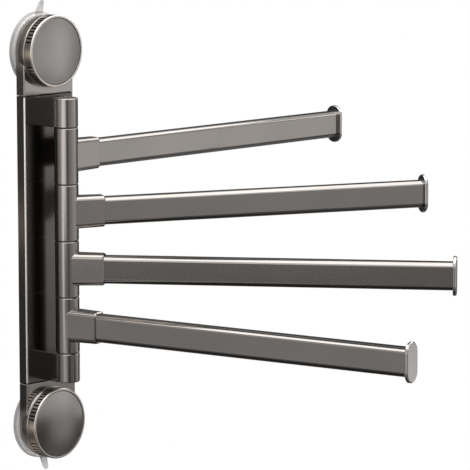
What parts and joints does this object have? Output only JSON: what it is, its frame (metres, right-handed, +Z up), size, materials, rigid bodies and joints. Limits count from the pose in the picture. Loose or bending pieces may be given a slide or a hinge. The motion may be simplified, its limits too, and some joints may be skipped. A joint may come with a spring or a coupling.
{
  "type": "swing arm towel bar",
  "caption": "Wall rail with swivelling towel arms on one upright pivot rod, held by twist-lock suction cups at its two ends.",
  "frame": {"origin": "on the wall plane, behind the middle of the rail", "axes": "+X right along the wall, +Y into the wall, +Z up along the rail"},
  "size_m": [0.391, 0.3873, 0.4374],
  "materials": {
    "rail_anodised": "glossy dark anodised",
    "cast_plated": "glossy gunmetal plating",
    "tube_anodised": "glossy gunmetal anodised",
    "cap_plated": "glossy gunmetal plating",
    "moulded_plated": "glossy gunmetal plating on a moulding",
    "face_brushed": "satin gunmetal",
    "plug_plated": "glossy gunmetal",
    "nylon": "matt black",
    "cup_clear": "clear soft plastic, slightly milky",
    "brass": "machined",
    "steel": "zinc plated"
  },
  "bodies": {
    "rail": {"back_rail": "rail_anodised", "ear_screws": "steel", "tongue_screws": "steel", "pivot_rod": "steel", "pivot_nut": "steel", "friction_washer_1": "nylon", "friction_washer_2": "nylon", "friction_washer_3": "nylon", "friction_washer_4": "nylon", "friction_washer_5": "nylon", "upper_ear": "cast_plated", "upper_ear_plug": "plug_plated", "upper_housing": "moulded_plated", "upper_thrust_washer": "nylon", "upper_suction_cup": "cup_clear", "lower_ear": "cast_plated", "lower_ear_plug": "plug_plated", "lower_housing": "moulded_plated", "lower_thrust_washer": "nylon", "lower_suction_cup": "cup_clear"},
    "arm_1": {"swivel_hub_1": "cast_plated", "swivel_bush_1": "nylon", "arm_tube_1": "tube_anodised", "tube_screw_1": "steel", "end_cap_1": "cap_plated"},
    "arm_2": {"swivel_hub_2": "cast_plated", "swivel_bush_2": "nylon", "arm_tube_2": "tube_anodised", "tube_screw_2": "steel", "end_cap_2": "cap_plated"},
    "arm_3": {"swivel_hub_3": "cast_plated", "swivel_bush_3": "nylon", "arm_tube_3": "tube_anodised", "tube_screw_3": "steel", "end_cap_3": "cap_plated"},
    "arm_4": {"swivel_hub_4": "cast_plated", "swivel_bush_4": "nylon", "arm_tube_4": "tube_anodised", "tube_screw_4": "steel", "end_cap_4": "cap_plated"},
    "upper_knob": {"upper_knob": "moulded_plated", "upper_knob_insert": "brass", "upper_knob_face": "face_brushed"},
    "upper_stud": {"upper_stud": "steel"},
    "lower_knob": {"lower_knob": "moulded_plated", "lower_knob_insert": "brass", "lower_knob_face": "face_brushed"},
    "lower_stud": {"lower_stud": "steel"}
  },
  "joints": [
    {"name": "arm_1_swivel", "type": "hinge", "parent": "rail", "child": "arm_1", "pos_m": [0, -0.0368, 0.078], "axis": [0, 0, 1], "range_deg": [-176.9, 3.1]},
    {"name": "arm_2_swivel", "type": "hinge", "parent": "rail", "child": "arm_2", "pos_m": [0, -0.0368, 0.026], "axis": [0, 0, 1], "range_deg": [-152.5, 27.5]},
    {"name": "arm_3_swivel", "type": "hinge", "parent": "rail", "child": "arm_3", "pos_m": [0, -0.0368, -0.026], "axis": [0, 0, 1], "range_deg": [-125.5, 54.5]},
    {"name": "arm_4_swivel", "type": "hinge", "parent": "rail", "child": "arm_4", "pos_m": [0, -0.0368, -0.078], "axis": [0, 0, 1], "range_deg": [-101.6, 78.4]},
    {"name": "upper_knob_twist", "type": "hinge", "parent": "rail", "child": "upper_knob", "pos_m": [0, -0.02, 0.1725], "axis": [0, 1, 0], "range_deg": [0, 300]},
    {"name": "upper_stud_pull", "type": "slide", "parent": "rail", "child": "upper_stud", "axis": [0, -1, 0], "range_m": [0, 0.00251], "deforming": ["upper_suction_cup"]},
    {"name": "lower_knob_twist", "type": "hinge", "parent": "rail", "child": "lower_knob", "pos_m": [0, -0.02, -0.1725], "axis": [0, 1, 0], "range_deg": [0, 300]},
    {"name": "lower_stud_pull", "type": "slide", "parent": "rail", "child": "lower_stud", "axis": [0, -1, 0], "range_m": [0, 0.00251], "deforming": ["lower_suction_cup"]}
  ],
  "couplings": [
    {"joint": "upper_stud_pull", "follows": "upper_knob_twist", "m_per_rad": 0.00047746},
    {"joint": "lower_stud_pull", "follows": "lower_knob_twist", "m_per_rad": 0.00047746}
  ]
}
